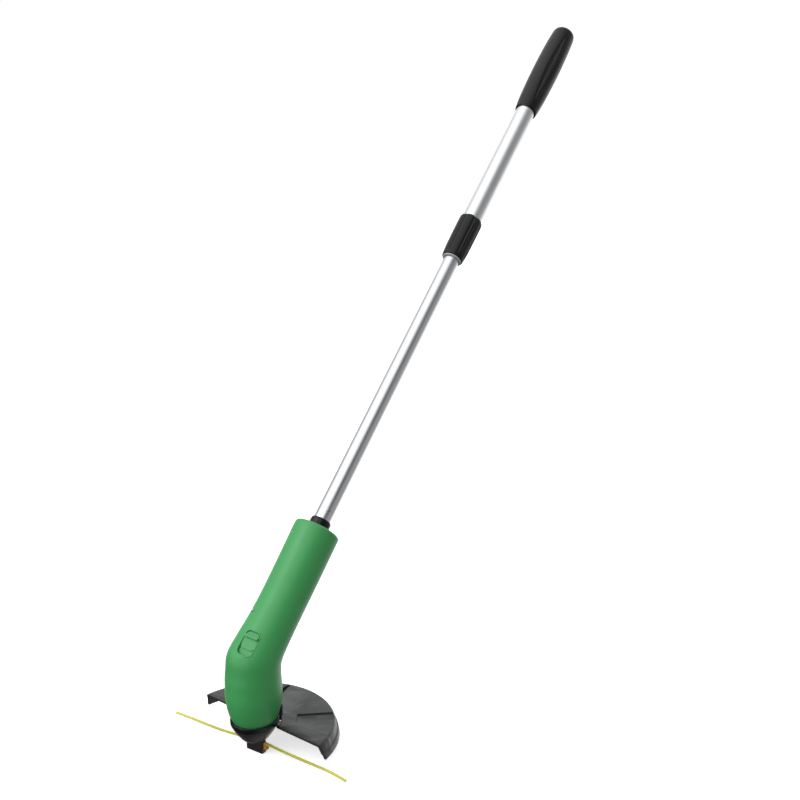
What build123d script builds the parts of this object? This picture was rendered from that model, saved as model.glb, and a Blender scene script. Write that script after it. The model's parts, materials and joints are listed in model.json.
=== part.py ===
"""Cordless string trimmer: battery head with elbow, half-moon guard, cable-tie cutter and telescopic pole.

Frame: millimetres, +Z up along the spindle axis, origin under the spindle on its lowest face.
The pole leans towards +Y, where the user stands, and x = 0 is the plane of symmetry.
"""
import os
from math import atan2, cos, radians, sin, sqrt, tan

from build123d import *

os.makedirs("parts", exist_ok=True)

# ---- driving dimensions -------------------------------------------------------------------------
LEAN = 42.5                 # pole angle from vertical, degrees
ELBOW_Z = 107.3             # height where the pole axis meets the spindle axis
WALL = 2.4                  # moulded housing wall
FIT = 0.15                  # gap between fixed mouldings
RUNNING = 0.06              # radial clearance of a running or sliding fit

BARREL_BOTTOM = 32.0
BARREL_RADII = [            # (height, radius) up the motor barrel
    (BARREL_BOTTOM, 21.2), (38.5, 24.0), (46.0, 27.0), (55.0, 29.3),
    (64.0, 30.5), (72.0, 30.8), (80.0, 30.5),
]
ELBOW_LOWER_R = 30.1
ELBOW_UPPER_R = 27.6
ELBOW_PATH_R = 45.0         # bend radius of the elbow's inner side, measured to the axes
ELBOW_FANS = (6.5, 13.0, 17.2, 21.25, 25.3, 29.5, 36.0)
UPPER_BARREL = [            # (distance up the pole, radius, how far the centre sits behind the pole axis)
    (17.5, ELBOW_UPPER_R, 1.4), (35, 26.6, 1.9), (60, 26.0, 2.4), (90, 26.1, 2.2), (120, 26.4, 1.5),
    (140, 26.6, 0.9),
]
HEAD_TOP = 156.4            # distance up the pole where the housing ends
HEAD_TOP_R = 26.6
HEAD_TOP_BACK = 0.6

LOWER_TUBE_R = 10.0
UPPER_TUBE_R = 12.7
LOWER_TUBE_WALL = 1.1
UPPER_TUBE_WALL = 1.2
LOWER_TUBE_FOOT = 128.0
LOWER_TUBE_TOP = 690.0
UPPER_TUBE_FOOT = 568.0
UPPER_TUBE_TOP = 940.0
COLLAR_FOOT = 542.5
COLLAR_TOP = 606.0
GRIP_FOOT = 800.5
GRIP_TOP = 952.0

GUARD_Z = 33.0              # top face of the guard
GUARD_R = 87.5
GUARD_SKIRT_R = 91.5
GUARD_FOOT = 16.0
GUARD_FRONT = 8.0
GUARD_T = 3.0

SPINDLE_TURN = 4.6          # how far the cutting line stands turned from X at rest, degrees
BLOCK_FRONT_X = 12.3
BLOCK_BACK_X = -10.3
BLOCK_Y = 3.4
BLOCK_TOP = 14.8
TENON_R = 3.0
TIE_Y = 0.6                 # the straps run a little behind the block's middle
TIE_Z = 9.6
TIE_WIDTH = 3.6
TIE_T = 1.1
TIE_REACH = 121.5

MOTOR_R = 13.85
MOTOR_FOOT = 46.0
MOTOR_TOP = 82.0
SHAFT_R = 1.15
BRACKET_R = 15.6

CELL_R = 7.1
CELL_LENGTH = 50.0
CELL_FOOT = 56.0            # distance up the pole
DOOR_FOOT = 46.0
DOOR_TOP = 116.0
DOOR_HALF_WIDTH = 16.0

# ---- frames -------------------------------------------------------------------------------------
elbow = Vector(0, 0, ELBOW_Z)
along = Vector(0, sin(radians(LEAN)), cos(radians(LEAN)))
outward = Vector(0, -cos(radians(LEAN)), sin(radians(LEAN)))
pole_axis = Axis(elbow, along)


def pole_plane(distance, out=0.0, side=0.0):
    """Plane across the pole: local x outward, local y to +X, normal up the pole."""
    return Plane(elbow + along * distance + outward * out + Vector(side, 0, 0), x_dir=outward, z_dir=along)


def pole_profile_plane():
    """Plane through the pole axis: local x is the radius, local y the distance up the pole."""
    return Plane(elbow, x_dir=outward, z_dir=(-1, 0, 0))


def save(piece, name):
    piece.part.label = name
    export_step(piece.part, f"parts/{name}.step")


def turned(points, plane, axis):
    """Body of revolution from the corner points of its half section."""
    with BuildPart() as body:
        with BuildSketch(plane):
            with BuildLine():
                Polyline(*points, close=True)
            make_face()
        revolve(axis=axis)
    return body.part


def pole_turned(points):
    return turned(points, pole_profile_plane(), pole_axis)


def head_turned(points):
    return turned(points, Plane.XZ, Axis.Z)


# ---- head housing -------------------------------------------------------------------------------
ELBOW_REACH = ELBOW_PATH_R * tan(radians(LEAN / 2))
elbow_pivot = elbow + along * ELBOW_REACH - outward * ELBOW_PATH_R
PIVOT_TO_ELBOW = ELBOW_PATH_R / cos(radians(LEAN / 2))


def fan_section(angle, inset):
    """Centre distance from the pivot and the two half widths of the elbow section at a fan angle."""
    share = angle / LEAN
    radius = ELBOW_LOWER_R + (ELBOW_UPPER_R - ELBOW_LOWER_R) * share
    from_middle = radians(angle - LEAN / 2)
    corner_turn = radians(LEAN / 2) - abs(from_middle)
    flat = (ELBOW_PATH_R + radius) / cos(corner_turn)
    reach = PIVOT_TO_ELBOW * cos(from_middle)
    ball = reach + sqrt(reach**2 - PIVOT_TO_ELBOW**2 + radius**2)
    # The round of the elbow runs only between the two straight outlines.
    tangent = radians(LEAN / 2) - atan2(ELBOW_REACH, ELBOW_PATH_R + radius)
    outer = ball if abs(from_middle) < tangent else flat
    inner = ELBOW_PATH_R - radius
    shift = 0.5 + 0.9 * share           # the form sits a little towards the inside of the bend
    return (outer + inner) / 2 - shift, (outer - inner) / 2 - inset, radius - inset


def head_form(inset, foot, top):
    """Lofted form of the head, from its foot height to its distance up the pole, inset by a wall."""
    with BuildPart() as form:
        for height, radius in BARREL_RADII:
            if height > foot:
                with BuildSketch(Plane((0, 0, height), x_dir=(0, -1, 0), z_dir=(0, 0, 1))):
                    Circle(radius - inset)
            elif height == BARREL_BOTTOM:
                with BuildSketch(Plane((0, 0, foot), x_dir=(0, -1, 0), z_dir=(0, 0, 1))):
                    Circle(radius + (foot - BARREL_BOTTOM) * 0.45 - inset)
        with BuildSketch(Plane((0, 0, elbow_pivot.Z), x_dir=(0, -1, 0), z_dir=(0, 0, 1))):
            Circle(ELBOW_LOWER_R - inset)
        for angle in ELBOW_FANS:
            turn = radians(angle)
            spoke = Vector(0, -cos(turn), sin(turn))
            centre, half_depth, half_width = fan_section(angle, inset)
            with BuildSketch(Plane(elbow_pivot + spoke * centre, x_dir=spoke, z_dir=(0, sin(turn), cos(turn)))):
                Ellipse(half_depth, half_width)
        for distance, radius, back in UPPER_BARREL + [(top, HEAD_TOP_R, HEAD_TOP_BACK)]:
            with BuildSketch(pole_plane(distance, -back)):
                Circle(radius - inset)
        loft()
    return form


head_outer = head_form(0, BARREL_BOTTOM, HEAD_TOP)
head_cavity = head_form(WALL, BARREL_BOTTOM + WALL, HEAD_TOP - WALL)

# Screw posts run across the head, at (distance up the pole, outward) or at (height, y) in the barrel.
POST_R = 4.2
post_centres = [
    elbow + along * 140 + outward * 20.3,
    elbow + along * 140 - outward * 22.3,
    elbow + along * 45 + outward * 20.0,
    Vector(0, -24.2, 91),
    Vector(0, 24.0, 92),
]
POST_PLANES = [Plane(centre, x_dir=(0, 1, 0), z_dir=(1, 0, 0)) for centre in post_centres]
SCREW_HEAD_X = -10.5
HEAD_SCREW_R = 1.3
HEAD_SCREW_CAP_R = 2.6

# Switch recess, turned from the outer line towards the left-hand shell.
SWITCH_TURN = 15.5
switch_out = outward * cos(radians(SWITCH_TURN)) + Vector(sin(radians(SWITCH_TURN)), 0, 0)
SWITCH_MID = 10.5
SWITCH_LENGTH = 26.5
SWITCH_WIDTH = 17.4
SWITCH_FLOOR_R = 23.2
SLIDER_MID = 13.5
SLIDER_TRAVEL = 6.0
SLIDER_PLATE = 17.4
SLIDER_PLATE_MID = 12.9
SLIDER_RIDGE = 17.2


def switch_plane(distance, radius):
    return Plane(elbow + along * distance + switch_out * radius, x_dir=along, z_dir=switch_out)


def back_plane(x, y):
    """Plane facing +Y at the height of the guard screws."""
    return Plane((x, y, GUARD_SCREW_Z), x_dir=(1, 0, 0), z_dir=(0, 1, 0))


SOCKET_R = 12.8
BUSH_R = 7.0
GUARD_SCREW_X = 8.0
GUARD_SCREW_Z = 40.0

with BuildPart() as head_shell:
    add(head_outer.part)
    fillet(head_shell.faces().sort_by(pole_axis)[-1].edges(), 3.0)
    add(head_cavity.part, mode=Mode.SUBTRACT)

with BuildPart() as head_inside:
    for post in POST_PLANES:
        with BuildSketch(post):
            Circle(POST_R)
        extrude(amount=40, both=True)
    with BuildSketch(switch_plane(SWITCH_MID, 21.0)):
        RectangleRounded(SWITCH_LENGTH + 5, SWITCH_WIDTH + 5, 4)
    extrude(amount=10)
    for side in (-GUARD_SCREW_X, GUARD_SCREW_X):
        with BuildSketch(back_plane(side, 14)):
            Circle(3.2)
        extrude(amount=12)
    with BuildSketch(Plane.XY.offset(BARREL_BOTTOM)):
        Circle(BUSH_R + 2.5)
    extrude(amount=9)
    for rib_foot, rib_r in ((MOTOR_FOOT + 4, BRACKET_R), (MOTOR_TOP - 12, MOTOR_R)):
        with BuildSketch(Plane.XY.offset(rib_foot)):
            Circle(40)
            Circle(rib_r + FIT, mode=Mode.SUBTRACT)
        extrude(amount=2.0)
    with BuildSketch(pole_plane(132)):
        Circle(SOCKET_R + 2.2)
    extrude(amount=HEAD_TOP - WALL - 131)
    add(head_form(0.6, BARREL_BOTTOM, HEAD_TOP - 1).part, mode=Mode.INTERSECT)

with BuildPart() as head:
    add(head_shell.part)
    add(head_inside.part)
    # Switch recess with a sloping lower end, and the slot for the slider's stem.
    with BuildSketch(switch_plane(SWITCH_MID, SWITCH_FLOOR_R)):
        RectangleRounded(SWITCH_LENGTH, SWITCH_WIDTH, 5.0)
    extrude(amount=12, mode=Mode.SUBTRACT)
    with BuildSketch(Plane(elbow, x_dir=along, z_dir=along.cross(switch_out))):
        with BuildLine():
            Polyline((-0.5, SWITCH_FLOOR_R), (-4.5, SWITCH_FLOOR_R + 6), (-0.5, SWITCH_FLOOR_R + 6), close=True)
        make_face()
    extrude(amount=SWITCH_WIDTH / 2 - 3.5, both=True, mode=Mode.SUBTRACT)
    with BuildSketch(switch_plane(SLIDER_MID - SLIDER_TRAVEL / 2, 18)):
        RectangleRounded(SLIDER_TRAVEL + 5.0, 4.4, 0.6)
    extrude(amount=10, mode=Mode.SUBTRACT)
    # Pole socket, shaft bush and battery opening.
    with BuildSketch(pole_plane(100)):
        Circle(SOCKET_R + 0.05)
    extrude(amount=70, mode=Mode.SUBTRACT)
    with BuildSketch(Plane.XY.offset(BARREL_BOTTOM - 5)):
        Circle(BUSH_R + 0.05)
    extrude(amount=20, mode=Mode.SUBTRACT)
    with BuildSketch(pole_plane(DOOR_FOOT, -32)):
        Rectangle(36, 2 * DOOR_HALF_WIDTH)
    extrude(amount=DOOR_TOP - DOOR_FOOT, mode=Mode.SUBTRACT)
    # Screw holes: cap clearance in the right-hand shell, pilots in the left-hand one.
    for post in POST_PLANES:
        with BuildSketch(post.offset(-40)):
            Circle(HEAD_SCREW_CAP_R + 0.2)
        extrude(amount=40 + SCREW_HEAD_X, mode=Mode.SUBTRACT)
        with BuildSketch(post.offset(-12)):
            Circle(HEAD_SCREW_R + 0.05)
        extrude(amount=22, mode=Mode.SUBTRACT)
    for side in (-GUARD_SCREW_X, GUARD_SCREW_X):
        with BuildSketch(back_plane(side, 17)):
            Circle(HEAD_SCREW_R + 0.05)
        extrude(amount=12, mode=Mode.SUBTRACT)

with BuildPart() as housing_left:
    add(head.part)
    split(bisect_by=Plane.YZ, keep=Keep.TOP)
save(housing_left, "housing_left")

with BuildPart() as housing_right:
    add(head.part)
    split(bisect_by=Plane.YZ, keep=Keep.BOTTOM)
save(housing_right, "housing_right")

with BuildPart() as housing_screws:
    for post in POST_PLANES:
        with BuildSketch(post.offset(SCREW_HEAD_X)):
            Circle(HEAD_SCREW_R)
        extrude(amount=18)
        with BuildSketch(post.offset(SCREW_HEAD_X - 2.0)):
            Circle(HEAD_SCREW_CAP_R)
        extrude(amount=2.0)
        with BuildSketch(post.offset(SCREW_HEAD_X - 2.0)):
            Rectangle(3.0, 0.7)
            Rectangle(0.7, 3.0)
        extrude(amount=1.2, mode=Mode.SUBTRACT)
save(housing_screws, "housing_screws")

DOOR_GAP = 0.35
with BuildPart() as battery_door:
    add(head_outer.part)
    add(head_cavity.part, mode=Mode.SUBTRACT)
    with BuildSketch(pole_plane(DOOR_FOOT + DOOR_GAP, -32)):
        Rectangle(36, 2 * (DOOR_HALF_WIDTH - DOOR_GAP))
    extrude(amount=DOOR_TOP - DOOR_FOOT - 2 * DOOR_GAP, mode=Mode.INTERSECT)
    # Finger rebate with three grip ribs near the upper end.
    with BuildSketch(pole_plane(DOOR_TOP - 13, -28.4)):
        Rectangle(2.2, 15)
    extrude(amount=9, mode=Mode.SUBTRACT)
    for rib in range(3):
        with BuildSketch(pole_plane(DOOR_TOP - 12 + 2.6 * rib, -27.6)):
            Rectangle(1.4, 12)
        extrude(amount=1.1)
save(battery_door, "battery_door")

# ---- switch -------------------------------------------------------------------------------------
with BuildPart() as switch_slider:
    with BuildSketch(switch_plane(SLIDER_PLATE_MID, SWITCH_FLOOR_R + 0.2)):
        RectangleRounded(SLIDER_PLATE, SWITCH_WIDTH - 1.0, 4.2)
    extrude(amount=1.2)
    with BuildSketch(switch_plane(SLIDER_RIDGE, SWITCH_FLOOR_R + 1.2)):
        RectangleRounded(2.8, SWITCH_WIDTH - 1.4, 0.6)
    extrude(amount=3.0)
    fillet(switch_slider.faces().sort_by(Axis(elbow, switch_out))[-1].edges(), 0.5)
    with BuildSketch(switch_plane(SLIDER_MID, 17.6)):
        Rectangle(4.0, 3.4)
    extrude(amount=6.4)
save(switch_slider, "switch_slider")

with BuildPart() as switch_body:
    with BuildSketch(switch_plane(SWITCH_MID, 10.5)):
        Rectangle(20, 8)
    extrude(amount=7.5)
    with BuildSketch(switch_plane(SLIDER_MID - SLIDER_TRAVEL / 2, 16.5)):
        Rectangle(SLIDER_TRAVEL + 5.5, 5)
    extrude(amount=4, mode=Mode.SUBTRACT)
    with Locations(switch_plane(SWITCH_MID, 10.5)):
        with Locations((-6, 0, -1.5), (0, 0, -1.5), (6, 0, -1.5)):
            Box(0.6, 2.4, 3.0)
save(switch_body, "switch_body")

# ---- motor --------------------------------------------------------------------------------------
with BuildPart() as motor_can:
    with BuildSketch(Plane.XY.offset(MOTOR_FOOT)):
        Circle(MOTOR_R)
    extrude(amount=MOTOR_TOP - MOTOR_FOOT - 4)
    fillet(motor_can.faces().sort_by(Axis.Z)[0].edges(), 1.2)
    with BuildSketch(Plane.XY.offset(MOTOR_FOOT + 1.0)):
        Circle(MOTOR_R - 1.0)
    extrude(amount=MOTOR_TOP - MOTOR_FOOT, mode=Mode.SUBTRACT)
    with BuildSketch(Plane.XY.offset(MOTOR_FOOT - 2)):
        Circle(4.9)
    extrude(amount=2.2)
    with BuildSketch(Plane.XY.offset(MOTOR_FOOT - 3)):
        Circle(SHAFT_R + RUNNING)
        with Locations((8, 0), (-8, 0)):
            Circle(1.3)
    extrude(amount=5, mode=Mode.SUBTRACT)
save(motor_can, "motor_can")

with BuildPart() as motor_end_cap:
    with BuildSketch(Plane.XY.offset(MOTOR_TOP - 4)):
        Circle(MOTOR_R - 0.1)
    extrude(amount=4)
    with BuildSketch(Plane.XY.offset(MOTOR_TOP - 5)):
        Circle(SHAFT_R + RUNNING)
    extrude(amount=3.5, mode=Mode.SUBTRACT)
    with Locations((-7.5, 0, MOTOR_TOP + 1.5), (7.5, 0, MOTOR_TOP + 1.5)):
        Box(0.6, 3, 3)
save(motor_end_cap, "motor_end_cap")

SPINDLE_HUB_TOP = 31.2
with BuildPart() as motor_rotor:
    with BuildSketch(Plane.XY.offset(20)):
        Circle(SHAFT_R)
    extrude(amount=MOTOR_TOP - 22.2)
    with BuildSketch(Plane.XY.offset(MOTOR_FOOT + 5)):
        Circle(10.6)
        with PolarLocations(8.4, 3):
            Circle(2.6, mode=Mode.SUBTRACT)
    extrude(amount=20)
    with BuildSketch(Plane.XY.offset(MOTOR_FOOT + 26)):
        Circle(3.4)
    extrude(amount=4)
save(motor_rotor, "motor_rotor")

with BuildPart() as motor_bracket:
    with BuildSketch(Plane.XY.offset(MOTOR_FOOT - 2.6)):
        Circle(BRACKET_R)
        Circle(5.2, mode=Mode.SUBTRACT)
        with Locations((8, 0), (-8, 0)):
            Circle(1.4, mode=Mode.SUBTRACT)
    extrude(amount=2.5)
    with BuildSketch(Plane.XY.offset(MOTOR_FOOT - 2.6)):
        Circle(BRACKET_R)
        Circle(MOTOR_R + FIT, mode=Mode.SUBTRACT)
    extrude(amount=14)
save(motor_bracket, "motor_bracket")

with BuildPart() as motor_screws:
    for side in (-8, 8):
        with BuildSketch(Plane((side, 0, MOTOR_FOOT - 2.7))):
            Circle(1.2)
        extrude(amount=4.5)
        with BuildSketch(Plane((side, 0, MOTOR_FOOT - 4.2))):
            Circle(2.3)
        extrude(amount=1.5)
save(motor_screws, "motor_screws")

with BuildPart() as shaft_bush:
    with BuildSketch(Plane.XY.offset(BARREL_BOTTOM)):
        Circle(BUSH_R)
    extrude(amount=8)
    with BuildSketch(Plane.XY.offset(BARREL_BOTTOM - 1)):
        Circle(SHAFT_R + RUNNING)
    extrude(amount=10, mode=Mode.SUBTRACT)
save(shaft_bush, "shaft_bush")

# ---- spindle and cable ties ---------------------------------------------------------------------
BOWL_TOP = 32.6
with BuildPart() as spindle_bowl:
    with BuildSketch(Plane.XZ):
        with BuildLine():
            Spline((25.0, BOWL_TOP), (22.7, 27.4), (19.4, 22.5), (16.3, 18.3), (13.0, 15.0))
            Polyline((13.0, 15.0), (0, 15.0), (0, SPINDLE_HUB_TOP), (4.6, SPINDLE_HUB_TOP), (4.6, 17.2),
                     (11.6, 17.2))
            Spline((11.6, 17.2), (14.8, 20.2), (17.9, 24.0), (20.9, 28.4), (23.0, BOWL_TOP))
            Line((23.0, BOWL_TOP), (25.0, BOWL_TOP))
        make_face()
    revolve(axis=Axis.Z)
    with BuildSketch(Plane.XY.offset(19.5)):
        Circle(SHAFT_R + 0.01)
    extrude(amount=15, mode=Mode.SUBTRACT)
    with BuildSketch(Plane.XY.offset(14)):
        Circle(TENON_R + 0.02)
    extrude(amount=5.4, mode=Mode.SUBTRACT)
save(spindle_bowl, "spindle_bowl")

turn = radians(SPINDLE_TURN)
line_plane = Plane((0, 0, 0), x_dir=(cos(turn), sin(turn), 0), z_dir=(sin(turn), -cos(turn), 0))
strap_plane = line_plane.offset(-TIE_Y)

with BuildPart() as spindle_block:
    with BuildSketch(line_plane.offset(-BLOCK_Y)):
        with BuildLine():
            Polyline((BLOCK_BACK_X, 0), (BLOCK_FRONT_X, 0), (BLOCK_FRONT_X, BLOCK_TOP),
                     (BLOCK_BACK_X, BLOCK_TOP), close=True)
        make_face()
    extrude(amount=2 * BLOCK_Y)
    fillet(spindle_block.edges().filter_by(Axis.Z), 0.8)
    with BuildSketch(Plane.XY.offset(BLOCK_TOP - 1)):
        Circle(TENON_R)
    extrude(amount=5.0)
    # Cross slot for the two straps, and the pocket that takes the rear tie's head.
    with BuildSketch(strap_plane):
        with Locations((0, TIE_Z + TIE_T + 0.1)):
            Rectangle(60, 2 * TIE_T + 0.5)
    extrude(amount=TIE_WIDTH / 2 + 0.15, both=True, mode=Mode.SUBTRACT)
    with BuildSketch(strap_plane):
        with Locations((BLOCK_BACK_X + 0.4, TIE_Z + TIE_T + 2.6)):
            Rectangle(10.2, 5.0)
    extrude(amount=2.65, both=True, mode=Mode.SUBTRACT)
save(spindle_block, "spindle_block")


def cable_tie(head_x, head_z, head_height, route):
    """Nylon tie: square head at the strap's inner end, and a flat strap whose middle follows the route."""
    half = TIE_T / 2
    above = [(x, z + half) for x, z in route]
    below = [(x, z - half) for x, z in reversed(route)]
    with BuildPart() as tie:
        with BuildSketch(strap_plane):
            with BuildLine():
                upper = Spline(*above)
                lower = Spline(*below)
                Line(upper @ 1, lower @ 0)
                Line(lower @ 1, upper @ 0)
            make_face()
        extrude(amount=TIE_WIDTH / 2, both=True)
        with BuildSketch(strap_plane):
            with Locations((head_x, head_z)):
                Rectangle(4.4, head_height)
        extrude(amount=2.5, both=True)
    return tie


strap_z = TIE_Z + TIE_T / 2
tie_front = cable_tie(BLOCK_FRONT_X + 2.35, 7.7, 5.7,
                      [(BLOCK_FRONT_X + 1, strap_z), (0, strap_z), (-13, strap_z - 0.2), (-25, 8.6), (-47, 6.6),
                       (-73, 5.9), (-98, 6.0), (-TIE_REACH, 5.2)])
save(tie_front, "cable_tie_front")
upper_z = strap_z + TIE_T + 0.2
tie_back = cable_tie(BLOCK_BACK_X + 2.6, 12.75, 3.8,
                     [(BLOCK_BACK_X + 2, upper_z), (0, upper_z), (15, upper_z), (27, 10.6), (51, 9.4), (80, 8.8),
                      (100, 8.2), (TIE_REACH, 5.0)])
save(tie_back, "cable_tie_back")

# ---- guard --------------------------------------------------------------------------------------
RING_R = 26.3
RING_TOP = 39.5
PANEL_DEPTH = 1.5


def sector(inner, outer, first, last):
    """Ring sector face outline between two radii and two angles in degrees from +X."""
    CenterArc((0, 0), outer, first, last - first)
    CenterArc((0, 0), inner, first, last - first)
    for angle in (first, last):
        Line((inner * cos(radians(angle)), inner * sin(radians(angle))),
             (outer * cos(radians(angle)), outer * sin(radians(angle))))


with BuildPart() as guard:
    with BuildSketch(Plane.XZ):
        with BuildLine():
            Polyline((25.5, GUARD_Z), (86.6, GUARD_Z), (88.9, 22.4), (90.2, 22.0), (GUARD_SKIRT_R, GUARD_FOOT),
                     (89.4, GUARD_FOOT), (88.2, 20.6), (86.8, 21.0), (84.4, GUARD_Z - GUARD_T),
                     (25.5, GUARD_Z - GUARD_T), close=True)
        make_face()
    revolve(axis=Axis.Z)
    fillet(guard.edges().filter_by(GeomType.CIRCLE).filter_by(lambda e: abs(e.radius - 86.6) < 0.1), 3.2)
    fillet(guard.edges().filter_by(GeomType.CIRCLE).filter_by(lambda e: abs(e.radius - 84.4) < 0.1), 1.6)
    # Raised lip round the barrel hole.
    with BuildSketch(Plane.XY.offset(GUARD_Z - GUARD_T)):
        Circle(29.5)
        Circle(25.5, mode=Mode.SUBTRACT)
    extrude(amount=GUARD_T + 1.5)
    # Everything in front of the half-moon's edge goes; the skirt's end leans back a little.
    split(bisect_by=Plane((0, GUARD_FRONT, GUARD_Z), x_dir=(1, 0, 0), z_dir=(0, 17, 5)), keep=Keep.TOP)
    # Ring that hugs the foot of the barrel all the way round.
    with BuildSketch(Plane.XZ):
        with BuildLine():
            Polyline((21.95, GUARD_Z), (25.8, GUARD_Z), (RING_R, GUARD_Z + 1.5), (RING_R, RING_TOP - 0.5),
                     (RING_R - 0.3, RING_TOP), (25.1, RING_TOP), close=True)
        make_face()
    revolve(axis=Axis.Z)
    # Screw lug behind the barrel.
    with BuildSketch(Plane.XY.offset(GUARD_Z)):
        with Locations((0, 26)):
            RectangleRounded(26, 10, 2)
    extrude(amount=12)
    add(head_form(-0.25, BARREL_BOTTOM, HEAD_TOP).part, mode=Mode.SUBTRACT)
    for side in (-GUARD_SCREW_X, GUARD_SCREW_X):
        with BuildSketch(back_plane(side, 20)):
            Circle(HEAD_SCREW_R + 0.15)
        extrude(amount=20, mode=Mode.SUBTRACT)
        with BuildSketch(back_plane(side, 28.8)):
            Circle(HEAD_SCREW_CAP_R + 0.2)
        extrude(amount=10, mode=Mode.SUBTRACT)
    # Sunken panels, the slots beside the barrel, and the weld line on the top.
    for mirrored in (1, -1):
        with BuildSketch(Plane.XY.offset(GUARD_Z - PANEL_DEPTH)):
            with BuildLine():
                Line((26 * mirrored, 39), (54 * mirrored, 66))
                ThreePointArc((54 * mirrored, 66), (69.5 * mirrored, 49.7), (79.4 * mirrored, 31.5))
                Polyline((79.4 * mirrored, 31.5), (38 * mirrored, 23), (26 * mirrored, 39))
            make_face()
        extrude(amount=5, mode=Mode.SUBTRACT)
        with BuildSketch(Plane.XY.offset(GUARD_Z - 5)):
            with BuildLine():
                if mirrored == 1:
                    sector(26.6, 28.3, 36, 55)
                else:
                    sector(26.6, 28.3, 125, 144)
            make_face()
        extrude(amount=10, mode=Mode.SUBTRACT)
    with BuildSketch(Plane.XY.offset(GUARD_Z - 0.6)):
        with BuildLine():
            sector(31, 84, 106.6, 107.4)
        make_face()
    extrude(amount=3, mode=Mode.SUBTRACT)
save(guard, "guard")

with BuildPart() as guard_screws:
    for side in (-GUARD_SCREW_X, GUARD_SCREW_X):
        with BuildSketch(back_plane(side, 19)):
            Circle(HEAD_SCREW_R)
        extrude(amount=10)
        with BuildSketch(back_plane(side, 28.85)):
            Circle(HEAD_SCREW_CAP_R)
        extrude(amount=1.9)
        with BuildSketch(back_plane(side, 29.8)):
            Rectangle(3.0, 0.7)
            Rectangle(0.7, 3.0)
        extrude(amount=2, mode=Mode.SUBTRACT)
save(guard_screws, "guard_screws")

# ---- battery ------------------------------------------------------------------------------------
HOLDER_FOOT = 52.0
HOLDER_TOP = 109.5
HOLDER_WALL = 1.5
CELL_PITCH = 14.3
BATTERY_OUT = -2.8          # the pack sits towards the door side of the pole axis
SPRING_GAP = 3.0
PLATE_T = 0.5
cell_room_foot = HOLDER_FOOT + HOLDER_WALL
cell_room_top = HOLDER_TOP - HOLDER_WALL
cell_places = [(BATTERY_OUT + row, side, row * side > 0) for row in (-CELL_PITCH / 2, CELL_PITCH / 2)
               for side in (-CELL_PITCH / 2, CELL_PITCH / 2)]

with BuildPart() as battery_holder:
    with BuildSketch(pole_plane(HOLDER_FOOT, BATTERY_OUT)):
        Rectangle(31.2, 31.2)
    extrude(amount=HOLDER_TOP - HOLDER_FOOT)
    with BuildSketch(pole_plane(cell_room_foot, BATTERY_OUT - 1.1)):
        Rectangle(31.2, 29.0)
    extrude(amount=cell_room_top - cell_room_foot, mode=Mode.SUBTRACT)
save(battery_holder, "battery_holder")

with BuildPart() as battery_cells:
    for out, side, points_up in cell_places:
        foot = cell_room_foot + PLATE_T + (SPRING_GAP if points_up else 1.5)
        with BuildSketch(pole_plane(foot, out, side)):
            Circle(CELL_R)
        extrude(amount=CELL_LENGTH - 1.5)
        nub_foot = foot + CELL_LENGTH - 1.5 if points_up else foot - 1.5
        with BuildSketch(pole_plane(nub_foot, out, side)):
            Circle(2.7)
        extrude(amount=1.5)
save(battery_cells, "battery_cells")

with BuildPart() as contact_plates:
    for side in (-CELL_PITCH / 2, CELL_PITCH / 2):
        for foot in (cell_room_foot, cell_room_top - PLATE_T):
            with BuildSketch(pole_plane(foot, BATTERY_OUT - 0.2, side)):
                Rectangle(26, 12)
            extrude(amount=PLATE_T)
save(contact_plates, "contact_plates")

with BuildPart() as contact_springs:
    for out, side, points_up in cell_places:
        foot = cell_room_foot + PLATE_T if points_up else cell_room_top - PLATE_T
        tip = SPRING_GAP - 0.05 if points_up else -(cell_room_top - PLATE_T) + (
            cell_room_foot + PLATE_T + CELL_LENGTH + 0.05)
        with BuildSketch(pole_plane(foot, out, side)):
            Circle(4.6)
            Circle(3.9, mode=Mode.SUBTRACT)
        with BuildSketch(pole_plane(foot + tip, out, side)):
            Circle(2.9)
            Circle(2.2, mode=Mode.SUBTRACT)
        loft()
save(contact_springs, "contact_springs")

# ---- leads inside the head ----------------------------------------------------------------------
LEAD_R = 0.7


def pole_point(distance, out, side):
    return elbow + along * distance + outward * out + Vector(side, 0, 0)


def lead(points, radii):
    with BuildPart() as tube:
        with BuildLine() as route:
            FilletPolyline(*points, radius=radii)
        with BuildSketch(Plane(route.line @ 0, z_dir=route.line % 0)):
            Circle(LEAD_R)
        sweep()
    return tube


terminal = switch_out * 9.0
lead_black = lead([pole_point(51.8, -6, -9), pole_point(38, -6, -9), pole_point(20, -10, -8),
                   Vector(-7.5, 0.2, 101), Vector(-7.5, 0, 85.2)], [14, 10, 8])
save(lead_black, "lead_black")

supply = lead([pole_point(51.8, 12, 5), pole_point(43, 12, 5), pole_point(29, 9.2, 2.2),
               elbow + along * 17.0 + terminal], [10, 10])
motor_feed = lead([elbow + along * 4.0 + terminal, elbow + along * -6 + terminal,
                   Vector(7.5, -3, 98), Vector(7.5, 0, 85.2)], [4, 6])
with BuildPart() as lead_red:
    add(supply.part)
    add(motor_feed.part)
save(lead_red, "lead_red")

# ---- pole ---------------------------------------------------------------------------------------
BORE_R = LOWER_TUBE_R + RUNNING
NECK_R = 10.9
NUT_TOP = 167.5
SOCKET_FOOT = 125.0

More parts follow.
